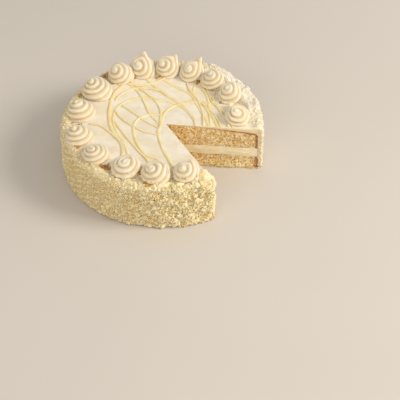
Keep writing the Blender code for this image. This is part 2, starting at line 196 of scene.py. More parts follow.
def seam(spots, seed):
    """How far the seam between two layers wanders up or down: 0.6 mm over 17 mm and 0.3 mm over 6 mm."""
    points = np.column_stack([spots, np.zeros(len(spots))])
    return 0.0006 * cloud(points, 0.017, seed) + 0.0003 * cloud(points, 0.006, seed)


def sponge_layer(name, cells, seed, foot=0.0):
    """A round of sponge with its crumb opened on the cuts: pits sink in and torn lumps stand out.

    The layer's foot spreads out of the cuts by foot (1 - z / FOOT_RISE) sqrt(sin(pi out))."""
    radius = SPONGE_RADII[name]
    marks = {}

    def place(turn, out, up):
        """The layer's points, with the marks that its material reads."""
        lower = name == "sponge_bottom"
        edge = 0 * up if lower else SHOULDER * np.clip((up - 0.8) / 0.2, 0, 1) ** 2
        flat = cake_plan(turn, out, radius - edge)
        top = LOWER_TOP + seam(flat, 41) if lower else dome_height(flat)
        base = 0.0 if lower else FILLING_TOP + seam(flat, 42)
        points = np.column_stack([flat, base + up * (top - base)])
        large, small = pits(points, LARGE_PIT, seed), pits(points, SMALL_PIT, seed + 5)
        torn = cloud(points, 0.0045, seed + 9)
        lump = cloud(points, 0.0015, seed + 10)
        rise = 0.00040 * torn + 0.00028 * lump - LARGE_DEPTH * large - SMALL_DEPTH * small
        spread = np.sqrt(np.sin(np.pi * np.clip(out, 0, 1)).clip(0))
        rise += foot * np.clip(1 - points[:, 2] / FOOT_RISE, 0, 1) * spread
        side = cut_side(turn) * (smooth(out, 0, 0.02) * (1 - 0.7 * smooth(up, 0.97, 1)))[:, None]
        depth = radius - np.hypot(flat[:, 0], flat[:, 1])
        uneven = 1 + 0.5 * cloud(points, 0.005, seed + 11)
        crust = 1 - smooth(depth, CRUST, CRUST + CRUST_FADE[name] * uneven)
        if not lower:
            hot = smooth(out, 0.25, 0.9)
            crust = np.maximum(crust, hot * (1 - smooth(top - points[:, 2], 0.0004, 0.0024 * uneven)))
        streak = smooth(cloud(points * (1, 1, 0.12), 0.0022, seed + 12), -0.4, 0.5)
        pale = streak * (1 - smooth(points[:, 2], 0.001, 0.008)) if lower else 0 * up
        heart = 1 - smooth(np.linalg.norm(flat - WEDGE_TIP, axis=1), 0.004, 0.034)
        # The pits' depth also marks where shade is painted into the sponge's colour.
        pore = np.maximum(large, 0.8 * small)
        marks.update(pore=pore, crust=crust, pale=pale, heart=heart)
        return points + side * rise[:, None]

    layer = block_shell(name + "_crumb", place, cells)
    paint(layer, **marks)
    return layer


def linear(code):
    """The linear colour of an sRGB hex code: ((c + 0.055) / 1.055)^2.4 for each channel."""
    parts = np.array([int(code[k:k + 2], 16) for k in (1, 3, 5)]) / 255
    return (*(((parts + 0.055) / 1.055) ** 2.4), 1.0)


class Nodes:
    """Adds shader nodes to a material, their inputs given as values or as other nodes' outputs."""

    def __init__(self, name):
        self.material = bpy.data.materials.new(name)
        self.material.use_nodes = True
        self.tree = self.material.node_tree
        self.shader = self.tree.nodes["Principled BSDF"]

    def add(self, kind, settings=None, **inputs):
        """A new node of this kind, with its settings and its inputs."""
        node = self.tree.nodes.new("ShaderNode" + kind)
        for key, value in (settings or {}).items():
            setattr(node, key, value)
        self.set(node, **inputs)
        return node

    def set(self, node, **inputs):
        """Fills inputs by name, with _ for a space, or by number as n0, n1 and so on."""
        for key, value in inputs.items():
            socket = node.inputs[int(key[1:]) if key[1:].isdigit() else key.replace("_", " ")]
            if isinstance(value, bpy.types.NodeSocket):
                self.tree.links.new(value, socket)
            else:
                socket.default_value = value

    def where(self):
        """The place of each point in metres."""
        return self.add("TexCoord").outputs["Object"]

    def noise(self, size, detail=2.0, rough=0.5):
        """Noise whose lumps are about this size in metres."""
        made = self.add("TexNoise", Vector=self.where(), Scale=1 / size, Detail=detail, Roughness=rough)
        return made.outputs["Fac"]

    def cells(self, size):
        """Distance to the nearest centre of cells of this size in metres."""
        made = self.add("TexVoronoi", Vector=self.where(), Scale=1 / size)
        return made.outputs["Distance"]

    def painted(self, name):
        """The numbers that paint kept under this name."""
        return self.add("Attribute", {"attribute_name": name}).outputs["Fac"]

    def span(self, value, low, high, start=0.0, end=1.0):
        """Goes from start to end as the value goes from low to high."""
        made = self.add("MapRange", Value=value, From_Min=low, From_Max=high, To_Min=start, To_Max=end)
        return made.outputs["Result"]

    def mix(self, share, first, second):
        """The first colour at share 0, the second at share 1."""
        made = self.add("Mix", {"data_type": "RGBA"}, n0=share, n6=first, n7=second)
        return made.outputs[2]

    def times(self, first, second):
        """The product of two values."""
        return self.add("Math", {"operation": "MULTIPLY"}, n0=first, n1=second).outputs["Value"]

    def bump(self, height, distance, strength, under=None):
        """Small relief in the shading, on top of the relief under it."""
        made = self.add("Bump", Height=height, Distance=distance, Strength=strength)
        if under:
            self.set(made, Normal=under)
        return made.outputs["Normal"]

    def surface(self, colour, normal, rough, shine, glow=0.0, depths=(0.0, 0.0, 0.0)):
        """Sets the surface and gives the material. A share glow of the light comes back from inside,
        from these depths in metres for red, green and blue."""
        self.set(self.shader, Base_Color=colour, Normal=normal, Roughness=rough, Specular_IOR_Level=shine)
        self.set(self.shader, Subsurface_Weight=glow, Subsurface_Radius=depths, Subsurface_Scale=1.0)
        return self.material


def sponge_material():
    """Baked butter sponge: golden, lighter and yellower towards the wedge's tip, paler where it is torn,
    brown at the crust, and darker in its pores and small holes with painted shade."""
    made = Nodes("butter sponge")
    patch = made.span(made.noise(0.011), 0.35, 0.65)
    fine = made.span(made.noise(0.0030, 4.0, 0.7), 0.47, 0.58)
    dark = made.span(made.noise(0.0042, 4.0, 0.7), 0.55, 0.46)
    colour = made.mix(patch, linear("#f6d38a"), linear("#f9dfa2"))
    colour = made.mix(made.times(made.painted("heart"), 0.7), colour, linear("#ffd988"))
    colour = made.mix(made.times(dark, 0.75), colour, linear("#c69446"))
    colour = made.mix(made.times(fine, 0.9), colour, linear("#fff3d2"))
    colour = made.mix(made.times(made.painted("pale"), 0.75), colour, linear("#f6e6b4"))
    # Painted shade: small dark dots stand in for the shade inside the smallest holes.
    small = made.span(made.cells(0.0013), 0.30, 0.06, 0.0, 0.6)
    colour = made.mix(small, colour, linear("#d8aa5c"))
    # Painted shade: the pits are darkened to brown, standing in for the shade down in them.
    colour = made.mix(made.span(made.painted("pore"), 0.15, 0.8, 0.0, 0.85), colour, linear("#a5742f"))
    crumbly = made.span(made.noise(0.0016), 0.3, 0.7, 0.75, 1.0)
    crust = made.times(made.painted("crust"), crumbly)
    colour = made.mix(made.times(crust, 0.95), colour, linear("#ad602a"))
    normal = made.bump(made.cells(0.0010), 0.0005, 0.7)
    normal = made.bump(made.noise(0.0006, 3.0, 0.6), 0.0003, 0.6, normal)
    return made.surface(colour, normal, 0.92, 0.2, 0.12, (0.002, 0.0014, 0.0007))


sponge_finish = sponge_material()
lower_sponge = sponge_layer("sponge_bottom", (46, 214, 29), 11, foot=FOOT_SPREAD)
upper_sponge = sponge_layer("sponge_top", (46, 214, 42), 31)
for layer, node in ((lower_sponge, "sponge_bottom"), (upper_sponge, "sponge_top")):
    layer.data.materials.append(sponge_finish)
    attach(layer, "root")
    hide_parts(node)

# Cream filling
# Whipped vanilla cream spread 13 mm thick. The knife dragged it along the cut, so it has long
# soft streaks and swells a little between the layers.
FILLING_RADIUS = 0.1122
FILLING_SWELL = 0.0004


def filling_place(turn, out, up):
    """A flat round whose cut faces swell by FILLING_SWELL sin(pi up) and carry noise drawn out six
    times along the knife's way."""
    flat = cake_plan(turn, out, np.full(len(turn), FILLING_RADIUS))
    low, high = LOWER_TOP + GAP + seam(flat, 41), FILLING_TOP - GAP + seam(flat, 42)
    points = np.column_stack([flat, low + up * (high - low)])
    drawn = points * (1, 1, 6)
    rise = FILLING_SWELL * np.sin(np.pi * up) + 0.0004 * cloud(drawn, 0.012, 51)
    rise += 0.00025 * cloud(drawn, 0.005, 52) + 0.00015 * cloud(points, 0.0018, 53)
    return points + cut_side(turn) * (rise * smooth(out, 0, 0.02))[:, None]


def cream_material(name, pale, warm, gloss):
    """Whipped cream: smooth, softly shining, slightly see-through, with a faint warm mottle."""
    made = Nodes(name)
    patch = made.span(made.noise(0.009, 3.0), 0.35, 0.65)
    fine = made.span(made.noise(0.0016, 2.0), 0.4, 0.7, 0.0, 0.35)
    colour = made.mix(patch, linear(pale), linear(warm))
    colour = made.mix(fine, colour, linear(warm))
    normal = made.bump(made.noise(0.0022, 3.0, 0.55), 0.0003, 0.5)
    return made.surface(colour, normal, gloss, 0.35, 0.2, (0.004, 0.003, 0.0018))


filling = block_shell("cream_filling_spread", filling_place, (44, 136, 15))
filling.data.materials.append(cream_material("vanilla cream filling", "#fbf0d2", "#f3e3ba", 0.5))
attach(filling, "root")
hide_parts("cream_filling")

# Icing
# Ivory buttercream, smoothed with a palette knife to a level top and a side that crumbs cover.
# It is 5 mm thick on the side, and thins from 8 mm at the rim to 1.5 mm over the risen middle.
ICING_TOP = 0.0570
COAT_RADIUS = 0.1168
COAT_EDGE = 0.0035
COAT_FOOT = 0.0006
TOP_SHARE, EDGE_SHARE = 0.62, 0.06
BACK_HEAP, HEAP_START, HEAP_END, HEAP_RAMP = 0.0072, (-4, 16), (58, 84), (0.0950, 0.1040)
RIM_HEAP, RIM_RISE, RIM_FALL = 0.0024, (0.1030, 0.1110), (0.1140, 0.1180)
COARSEST, COARSE_SPREAD = 295, 55
CLUMP_RELIEF = 0.0034


def icing_height(spots):
    """Height of the icing's top: level, with the knife's long waves of 0.25 mm and short ones of
    0.1 mm. It is heaped up near the rim: here and there by RIM_HEAP, over the radii RIM_RISE to
    RIM_FALL, and by BACK_HEAP round the rosettes between the directions HEAP_START and HEAP_END."""
    points = np.column_stack([spots, np.zeros(len(spots))])
    far = np.hypot(spots[:, 0], spots[:, 1])
    way = np.degrees(np.arctan2(spots[:, 1], spots[:, 0]))
    heaped = smooth(way, *HEAP_START) * (1 - smooth(way, *HEAP_END))
    heaped *= 1 + 0.22 * cloud(points, 0.011, 67)
    heaped += 0.25 * heaped * cloud(points, 0.0048, 69)
    rim = BACK_HEAP * heaped * smooth(far, *HEAP_RAMP)
    ring = smooth(far, *RIM_RISE) * (1 - smooth(far, *RIM_FALL))
    rim += RIM_HEAP * smooth(cloud(points, 0.012, 68), -0.2, 0.6) * ring
    waves = 0.00025 * cloud(points, 0.032, 61) + 0.00010 * cloud(points * (1, 3, 1), 0.012, 62)
    return ICING_TOP + rim + waves


def coarseness(spots):
    """Crumbs are twice as coarse at the front right as on the left: 0.66 + 0.66 exp(-(a / spread)^2),
    with a the angle in degrees from the direction COARSEST."""
    angle = (np.degrees(np.arctan2(spots[:, 1], spots[:, 0])) - COARSEST + 180) % 360 - 180
    return 0.66 + 0.66 * np.exp(-((angle / COARSE_SPREAD) ** 2))


def side_relief(points):
    """Clumps on the side: noise 8 mm wide that ranges over 4 mm where the crumbs are coarsest, and
    over far less on the left."""
    clump = smooth(cloud(points, 0.0080, 63), -0.45, 0.45) - 0.62
    relief = CLUMP_RELIEF * clump * np.clip(2.2 * coarseness(points) - 1.6, 0.2, 1.2)
    return relief + 0.0006 * cloud(points, 0.0034, 64)


def icing_place(turn, out, up):
    """The outer face (up 1) runs over the top, round the edge by a quarter circle and down the side,
    which clumps roughen. The inner face (up 0) follows the sponge."""
    across = np.clip(out / TOP_SHARE, 0, 1)
    bend = np.clip((out - TOP_SHARE) / EDGE_SHARE, 0, 1)
    down = np.clip((out - TOP_SHARE - EDGE_SHARE) / (1 - TOP_SHARE - EDGE_SHARE), 0, 1)
    quarter = bend * np.pi / 2
    outer_flat = cake_plan(turn, across, COAT_RADIUS - COAT_EDGE * (1 - np.sin(quarter)))
    top = icing_height(outer_flat)
    outer_z = top - COAT_EDGE * (1 - np.cos(quarter)) - down * (top - COAT_EDGE - COAT_FOOT)
    outer = np.column_stack([outer_flat, outer_z])
    outward = np.column_stack([polar(np.arctan2(outer_flat[:, 1], outer_flat[:, 0])), 0 * out])
    outer = outer + outward * (side_relief(outer) * bend)[:, None]
    upper = SPONGE_RADII["sponge_top"] + GAP
    lower = SPONGE_RADII["sponge_bottom"] + GAP
    inner_radius = upper - SHOULDER * (1 - bend) + (lower - upper) * smooth(down, 0.44, 0.5)
    inner_flat = cake_plan(turn, across, inner_radius)
    under = dome_height(inner_flat) + 2 * GAP - SHOULDER * bend
    inner_z = under + down * (COAT_FOOT - under)
    points = outer * up[:, None] + np.column_stack([inner_flat, inner_z]) * (1 - up[:, None])
    torn = 0.0003 * cloud(points, 0.004, 65) + 0.0002 * cloud(points, 0.0016, 66)
    points = points + cut_side(turn) * (torn * smooth(out, 0, 0.02))[:, None]
    on_cut = (np.abs(cut_side(turn)).sum(axis=1) > 0) & (up < 0.99)
    past_back_right = smooth(turn, 0.10, 0.30)
    crumbed = np.maximum(bend, smooth(across, 0.92, 1.0) * 0.6) * past_back_right
    creamy = 0.4 * smooth(across, 0.85, 1.0) * past_back_right
    icing_marks.update(crumbed=crumbed, cut=np.maximum(on_cut, creamy))
    return points


def icing_material():
    """Buttercream icing: ivory on the open top, creamier at the rim and the cuts, and straw-coloured
    under the crumbs."""
    made = Nodes("buttercream icing")
    patch = made.span(made.noise(0.015, 4.0, 0.6), 0.38, 0.62)
    colour = made.mix(patch, linear("#f7ecd9"), linear("#efe0c2"))
    colour = made.mix(made.times(made.painted("cut"), 0.8), colour, linear("#efdbac"))
    colour = made.mix(made.times(made.painted("crumbed"), 0.9), colour, linear("#dfc792"))
    normal = made.bump(made.noise(0.0065, 4.0, 0.55), 0.0004, 0.5)
    normal = made.bump(made.noise(0.0009, 2.0), 0.00012, 0.5, normal)
    return made.surface(colour, normal, 0.5, 0.3, 0.2, (0.004, 0.003, 0.002))


icing_marks = {}
icing = block_shell("icing", icing_place, (256, 112, 4))
paint(icing, **icing_marks)
icing.data.materials.append(icing_material())
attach(icing, "root")
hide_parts("icing_coat")

# Drizzled cream
# Thin vanilla cream, let run from a spoon in loops over the set icing. Each strand is a soft
# bead about 3 mm wide with uneven thickness, and where two cross, the later one rides over.

# The points that the strands run through, and their widths, are in mm.
STRANDS = (
    ((-33, -72), (-37, -59), (-43, -37), (-54, -12), (-57, 12), (-49, 34), (-24, 45), (4, 38), (25, 25),
     (37, 4), (38, -20)),
    ((-24, 92), (-19, 80), (-12, 69), (2, 52), (18, 36), (31, 18), (38, 0), (40, -20)),
    ((-14, 96), (-2, 82), (12, 68), (31, 53), (39, 36), (46, 18), (53, -2), (56, -20)),
    ((40, 86), (38, 72), (36, 48), (47, 32), (55, 14), (56, -20)),
    ((38, 82), (46, 66), (53, 45), (55, 25), (61, 4), (68, -20)),
    ((46, 38), (60, 32), (69, 22), (80, 8)),
    ((46, 38), (33, 37), (14, 30), (3, 18), (-1, 0), (-4, -20), (1, -46), (9, -66), (14, -80)),
    ((0, 13), (-13, 14), (-28, 6), (-33, -12), (-28, -38), (-17, -58), (-4, -66), (4, -84)),
    ((-50, 82), (-38, 68), (-30, 57), (-22, 38), (-15, 16), (-4, -2)),
    ((-44, 80), (-33, 68), (-22, 56), (-8, 38), (-2, 18), (-3, -12)),
    ((-40, 84), (-48, 70), (-58, 52), (-62, 26), (-61, 0), (-53, -24), (-45, -42), (-44, -62), (-50, -78)),
    ((-86, -3), (-71, -7), (-57, -22), (-46, -38), (-42, -54)),
    ((-48, 30), (-37, 20), (-20, 2), (-5, -10)),
    ((-56, 22), (-47, 6), (-33, -8), (-20, -17), (-4, -23)),
    ((-55, 0), (-49, -11), (-38, -31), (-24, -54), (-16, -66), (-10, -84)),
    ((-56, 40), (-48, 53), (-30, 63), (-8, 60), (8, 47)),
    ((-66, 66), (-48, 73), (-28, 68), (-10, 74), (8, 88)),
)
STRAND_WIDTHS = (3.6, 4.0, 3.4, 3.0, 3.8, 2.8, 4.0, 3.4, 3.0, 3.0, 4.2, 2.6, 2.4, 2.4, 2.8, 3.2, 2.8)
FINE_STRANDS = (
    ((28, 78), (32, 58), (43, 38), (55, 22), (64, 6), (70, -20)),
    ((46, 60), (58, 46), (64, 30), (74, 12), (80, -20)),
    ((30, 66), (40, 44), (46, 22), (48, 4), (47, -20)),
    ((52, 64), (57, 40), (66, 24), (72, 10), (88, -20)),
    ((62, 56), (60, 38), (72, 18), (76, 4), (76, -20)),
)
FINE_WIDTH = 2.2
BEAD_SIDES = 14
STRAND_STEP = 0.0011
ROUNDED_END = 0.0018
STRAND_HEIGHT = 0.0009
LIFT_AT_CROSSINGS = 0.00004


def curve_through(spots, step):
    """Points a step apart on the Catmull-Rom curve through the spots, each span a cubic of its four
    nearest spots."""
    knots = np.vstack([2 * spots[0] - spots[1], spots, 2 * spots[-1] - spots[-2]])
    t = np.linspace(0, 1, 40, endpoint=False)[:, None]
    spans = [
        0.5 * (2 * b + (c - a) * t + (2 * a - 5 * b + 4 * c - d) * t**2 + (3 * b - a - 3 * c + d) * t**3)
        for a, b, c, d in zip(knots, knots[1:], knots[2:], knots[3:])
    ]
    path = np.vstack([*spans, spots[-1:]])
    run = np.concatenate([[0], np.cumsum(np.linalg.norm(np.diff(path, axis=0), axis=1))])
    places = np.linspace(0, run[-1], max(2, round(run[-1] / step) + 1))
    return np.column_stack([np.interp(places, run, path[:, axis]) for axis in (0, 1)])


def beyond_cut(spots):
    """Whether each spot lies in the missing wedge."""
    return np.all([(spots - WEDGE_TIP) @ normal[:2] > 0.0 for normal in CUT_NORMALS], axis=0)


def tube_faces(rows, sides, first):
    """Faces of a closed tube: quads between its rings, and a fan of triangles to a pole at each end.

    The rings' points come first, row by row, and then the two poles."""
    ring = first + np.arange(rows * sides).reshape(rows, sides)
    ring = np.column_stack([ring, ring[:, :1]])
    poles = first + rows * sides + np.arange(2)
    starts = np.column_stack([np.full(sides, poles[0]), ring[0, 1:], ring[0, :-1]])
    ends = np.column_stack([np.full(sides, poles[1]), ring[-1, :-1], ring[-1, 1:]])
    return quads(ring), np.vstack([starts, ends])


def strand_points(path, width, seed, lift, is_cut):
    """A flattened bead along the path: half an ellipse over a shallow foot, its width and height
    waved by noise, its ends rounded except where the knife cut it."""
    rows, sides = len(path), BEAD_SIDES
    ahead = np.gradient(path, axis=0)
    ahead /= np.linalg.norm(ahead, axis=1)[:, None]
    across = np.column_stack([-ahead[:, 1], ahead[:, 0]])
    spots = np.column_stack([path, np.full(rows, 0.001 * seed)])
    share = np.linspace(0, 1, rows)
    to_end = np.minimum(share + is_cut[0], 1 - share + is_cut[1])
    ends = np.sqrt(np.clip(to_end * rows * STRAND_STEP / ROUNDED_END, 0.12, 1))
    wave = 0.22 * cloud(spots, 0.014, seed) + 0.10 * cloud(spots, 0.005, seed + 1)
    half = width / 2 * (1 + wave) * ends
    tall = STRAND_HEIGHT * (1 + 0.3 * cloud(spots, 0.018, seed + 2)) * ends
    angle = np.linspace(0, 2 * np.pi, sides, endpoint=False)
    flat = path[:, None] + across[:, None] * (half[:, None] * np.cos(angle))[..., None]
    arch = np.where(np.sin(angle) > 0, np.abs(np.sin(angle)) ** 1.4, 0.5 * np.sin(angle))
    rise = tall[:, None] * arch
    base = icing_height(path) + lift
    points = np.dstack([flat, base[:, None] + rise]).reshape(-1, 3)
    poles = np.column_stack([path[[0, -1]], base[[0, -1]]])
    return np.vstack([points, poles])


def build_strands():
    """All the strands as one piece, each run of a strand that lies on the cake as a closed tube."""
    points, faces_4, faces_3, first = [], [], [], 0
    widths = STRAND_WIDTHS + (FINE_WIDTH,) * len(FINE_STRANDS)
    for number, (spots, width) in enumerate(zip(STRANDS + FINE_STRANDS, widths)):
        path = curve_through(np.array(spots) / 1000, STRAND_STEP)
        kept = ~beyond_cut(path)
        breaks = np.flatnonzero(np.diff(np.concatenate([[0], kept.astype(int), [0]])))
        for start, end in breaks.reshape(-1, 2):
            if end - start < 6:
                continue
            is_cut = (start > 0, end < len(path))
            lift = LIFT_AT_CROSSINGS * number
            tube = strand_points(path[start:end], width / 1000, 70 + 5 * number, lift, is_cut)
            four, three = tube_faces(end - start, BEAD_SIDES, first)
            points.append(tube)
            faces_4.append(four)
            faces_3.append(three)
            first += len(tube)
    return add_mesh("drizzled_strands", np.vstack(points), np.vstack(faces_4), np.vstack(faces_3))


def strand_material():
    """Thin cream gone yellow with egg and vanilla: deeper in random patches, glossy."""
    made = Nodes("drizzled vanilla cream")
    patch = made.span(made.noise(0.012, 3.0), 0.35, 0.65)
    colour = made.mix(patch, linear("#fbe8b6"), linear("#f4d998"))
    normal = made.bump(made.noise(0.0018, 2.0), 0.0002, 0.4)
    return made.surface(colour, normal, 0.38, 0.45, 0.2, (0.003, 0.0022, 0.001))


strands = build_strands()
strands.data.materials.append(strand_material())
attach(strands, "root")
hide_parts("icing_coat")

# Rosettes
# Piped through a star tube: the ridges of the cream wind inwards and upwards, leaning the way the
# hand held the bag, and the last of it pulls off in a tail. No two are alike.

# Each row gives a rosette's direction in degrees, distance from the cake's middle, radius and
# height, and its tail's direction in degrees, distance from the rosette's middle and height.
ROSETTES = (
    (5.0, 0.0885, 0.0144, 0.0170, 200.0, 0.003, 0.0010),
    (30.2, 0.0928, 0.0144, 0.0185, 60.0, 0.004, 0.0025),
    (50.9, 0.0943, 0.0144, 0.0185, 110.0, 0.004, 0.0025),
    (69.3, 0.0943, 0.0138, 0.0190, 25.0, 0.009, 0.0080),
    (86.4, 0.0965, 0.0140, 0.0200, 45.0, 0.010, 0.0040),
    (104.0, 0.0985, 0.0145, 0.0213, 78.0, 0.005, 0.0074),
    (121.5, 0.0980, 0.0149, 0.0213, 110.0, 0.003, 0.0015),
    (144.5, 0.0958, 0.0176, 0.0165, 130.0, 0.004, 0.0015),
    (171.0, 0.0960, 0.0160, 0.0168, 190.0, 0.004, 0.0015),
    (197.5, 0.0980, 0.0152, 0.0163, 150.0, 0.004, 0.0015),
    (219.4, 0.0947, 0.0152, 0.0150, 250.0, 0.004, 0.0015),
    (245.0, 0.0914, 0.0170, 0.0168, 20.0, 0.004, 0.0015),
    (267.4, 0.0928, 0.0168, 0.0180, 0.0, 0.006, 0.0015),
    (287.5, 0.0962, 0.0154, 0.0190, 30.0, 0.004, 0.0020),
)
# How far each swirl's middle leans from upright, and which way, in degrees.
SWIRL_LEANS = (
    (16, 265), (20, 215), (18, 190), (27, 228), (26, 218), (28, 230), (24, 205),
    (20, 165), (18, 150), (19, 145), (18, 160), (18, 215), (20, 200), (18, 225),
)
RIDGES, ROWS_IN_RIDGE, COLUMNS = 7, 11, 132
FULLER, TALLER = 1.13, 1.03
GROOVE_DEPTH = 0.0035
SLUMP = 0.13
TAIL_WIDTH = 0.0046
FOOT_ROUNDING = 0.0016


def dome_reach(way, radius, height):
    """How far a full dome lies from the middle of its foot along unit vectors:
    ((flat / radius)^2 + (up / height)^2)^(-1 / 2)."""
    flat = np.hypot(way[..., 0], way[..., 1])
    return ((flat / radius) ** 2 + (way[..., 2] / height) ** 2) ** -0.5


def join_seams(obj):
    """Makes one point of those that coincide, where a grid closes on itself or ends in a pole."""
    shape = bmesh.new()
    shape.from_mesh(obj.data)
    bmesh.ops.remove_doubles(shape, verts=shape.verts, dist=1e-6)
    bmesh.ops.recalc_face_normals(shape, faces=shape.faces)
    shape.to_mesh(obj.data)
    shape.free()


def build_rosette(name, row, swirl_lean, seed):
    """A dome whose ridges wind once round the swirl's middle for each ridge outwards: their number is
    q = angle from the middle / pitch + turn, and the mesh's rows follow q.

    From one sharp crease to the next, s running from 0 to 1, a ridge stands sin(pi s^1.5)^0.7 high,
    so it overhangs the one outside it. Ridges are a fifth wider towards the front right, and the
    rosettes at the back are the fullest. How deep each crease cuts in also says where shade is painted."""
    place, distance, radius, height, tail_way, tail_reach, tail = row
    draw = np.random.default_rng(seed)
    rows = np.arange(RIDGES * ROWS_IN_RIDGE + 1) / ROWS_IN_RIDGE
    q, turn = np.meshgrid(rows, np.linspace(0, 1, COLUMNS + 1), indexing="ij")
    radius *= FULLER + 0.07 * smooth(math.sin(math.radians(place)), 0.80, 0.97)
    height *= TALLER
    tilt, tilt_way = np.radians(swirl_lean)
    middle = np.array([*(math.sin(tilt) * polar(tilt_way)), math.cos(tilt)])
    right = np.cross([0.0, 0.0, 1.0], middle)
    right /= np.linalg.norm(right)
    around = 2 * np.pi * (turn + draw.uniform(0, 1))[..., None]
    across = np.cos(around) * right + np.sin(around) * np.cross(middle, right)
    widest = polar(math.radians(draw.uniform(290, 340)))
    pitch = draw.uniform(0.35, 0.40) * (1 + 0.20 * across[..., :2] @ widest)
    away = np.clip((q - turn) * pitch, 0, np.arctan2(middle[2], -across[..., 2]))
    way = np.cos(away)[..., None] * middle + np.sin(away)[..., None] * across
    crest = np.abs(np.sin(np.pi * ((away / pitch + turn) % 1.0) ** 1.5)) ** 0.7
    drift = way + seed
    # This mask shapes the grooves and also says where shade is painted into the rosette's colour.
    groove = (1 - crest) * smooth(away, 0.05, 0.30)
    reach = dome_reach(way, radius, height) * (0.95 + 0.05 * cloud(drift, 0.75, seed))
    reach += 0.0007 * np.exp(-(away / 0.13) ** 2) + 0.0005 * cloud(drift, 0.3, seed + 1)
    reach -= GROOVE_DEPTH * groove * (0.75 + 0.25 * cloud(drift, 0.9, seed + 2))
    points = reach[..., None] * way
    points[..., :2] += points[..., 2:] * SLUMP * polar(draw.uniform(0, 2 * np.pi))
    lean = tail_reach * polar(math.radians(tail_way))
    to_tail = np.linalg.norm(points - (*lean, 0.9 * height), axis=-1)
    nearest = points.reshape(-1, 3)[np.argmin(to_tail)]
    pull = np.exp(-(np.linalg.norm(points - nearest, axis=-1) / TAIL_WIDTH) ** 1.7)
    points += pull[..., None] * np.array([*(0.5 * lean), 0.80 * tail])
    points[..., 2] = np.maximum(points[..., 2], 0.0)
    tuck = (1 - np.clip(points[..., 2] / FOOT_ROUNDING, 0, 1)) ** 2
    points[..., :2] *= (1 - 0.07 * tuck)[..., None]
    grid = np.arange(q.size).reshape(q.shape)
    spot = distance * polar(math.radians(place))
    points = points.reshape(-1, 3) + np.array([*spot, ICING_TOP + GAP])
    rosette = add_mesh(name, points, quads(grid), grid[-1:, :-1])
    paint(rosette, groove=groove.ravel())
    join_seams(rosette)
    return rosette


def piped_material():
    """Piped buttercream: soft ivory, with shade painted down in the grooves between its ridges as a
    warmer, darker colour.
    """
    made = Nodes("piped buttercream")
    patch = made.span(made.noise(0.009, 3.0), 0.35, 0.65)
    colour = made.mix(patch, linear("#f0e5cf"), linear("#ebdebe"))
    # Painted shade: the grooves are turned towards tan, standing in for the shade down in them.
    colour = made.mix(made.span(made.painted("groove"), 0.10, 0.90, 0.0, 0.75), colour, linear("#d3b378"))
    normal = made.bump(made.noise(0.0022, 3.0, 0.55), 0.0003, 0.5)
    return made.surface(colour, normal, 0.48, 0.3, 0.05, (0.002, 0.0014, 0.0008))


rosette_finish = piped_material()
rosette_spots = []
for number, (row, swirl_lean) in enumerate(zip(ROSETTES, SWIRL_LEANS), 1):
    rosette = build_rosette(f"piped_rosette_{number:02d}", row, swirl_lean, 100 + number)
    rosette_spots.append(np.array([v.co[:] for v in rosette.data.vertices]))
    rosette.data.materials.append(rosette_finish)
    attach(rosette, "root")
    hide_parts(f"rosette_{number:02d}")

# Corner cream
# Where the knife came down through the front of the coat it dragged soft icing out over the
# corner of the cut, in an uneven roll the height of the cake, and smearing the rim left lumps.
ROLL_FOOT, ROLL_HEIGHT = 0.0010, 0.0580
ROLL_THICKNESS, ROLL_WIDTH = 0.0050, 0.0066
ROLL_INSET = 0.0062
ROLL_LIMIT = 0.1196


def corner_cream():
    """A closed roll: z goes up row by row, and an ellipse's half widths are waved by noise of 5 to
    14 mm. Nothing reaches further from the middle of the cake than ROLL_LIMIT."""
    rows, sides = 100, 48
    share = np.linspace(0, 1, rows)
    ends = np.sqrt(np.clip(1 - (2 * share - 1) ** 8, 0.0025, 1))
    level = ROLL_FOOT + ROLL_HEIGHT * share
    waves = np.column_stack([0 * share, 0 * share, level])
    along, out = polar(CUT_B), CUT_NORMALS[1][:2]
    thick = ROLL_THICKNESS + 0.0016 * cloud(waves, 0.010, 91) + 0.0007 * cloud(waves, 0.005, 92)
    wide = ROLL_WIDTH + 0.0016 * cloud(waves, 0.014, 93)
    angle = np.linspace(0, 2 * np.pi, sides, endpoint=False)
    corner = cut_corner(CUT_B, np.array([COAT_RADIUS]))[0] - ROLL_INSET * along
    flat = corner + ((wide * ends)[:, None] * np.cos(angle))[..., None] * along
    flat = flat + ((thick * ends)[:, None] * np.sin(angle))[..., None] * out
    points = np.dstack([flat, np.repeat(level[:, None], sides, axis=1)]).reshape(-1, 3)
    points = np.vstack([points, [(*corner, level[0] - 0.0003), (*corner, level[-1] + 0.0003)]])
    swell = 0.0009 * cloud(points, 0.0060, 94) + 0.0005 * cloud(points, 0.0026, 95)
    points[:, :2] += swell[:, None] * out
    flat = np.hypot(points[:, 0], points[:, 1])
    points[:, :2] *= np.minimum(1, ROLL_LIMIT / flat)[:, None]
    return add_mesh("corner_cream", points, *tube_faces(rows, sides, 0))


def ball(subdivisions):
    """Points and triangles of a sphere of radius 1 made from an icosahedron."""
    shape = bmesh.new()
    bmesh.ops.create_icosphere(shape, subdivisions=subdivisions, radius=1.0)
    points = np.array([v.co[:] for v in shape.verts])
    faces = np.array([[v.index for v in face.verts] for face in shape.faces])
    shape.free()
    return points, faces


# Each row gives a lump's middle, its half length, half width and half height, all in mm, and
# the direction of its length in degrees: the corner of the cut, a fold between the first two
# rosettes, a lump beside the twelfth, and ledges pushed up along the front rim.
CREAM_LUMPS = (
    (49.5, -96.0, 58.0, 7.0, 8.0, 9.0, 0),
    (80.0, 24.5, 60.5, 4.6, 3.6, 4.6, 75),
    (-15.0, -84.5, 60.0, 5.0, 4.0, 4.6, 30),
    (-31.0, -106.5, 57.0, 9.0, 3.4, 3.2, -16),
    (3.0, -109.5, 57.4, 6.5, 3.4, 3.0, 2),
    (22.0, -108.5, 57.4, 5.0, 3.0, 3.6, 12),
    (-66.0, -87.0, 57.0, 7.5, 3.2, 3.0, -38),
)


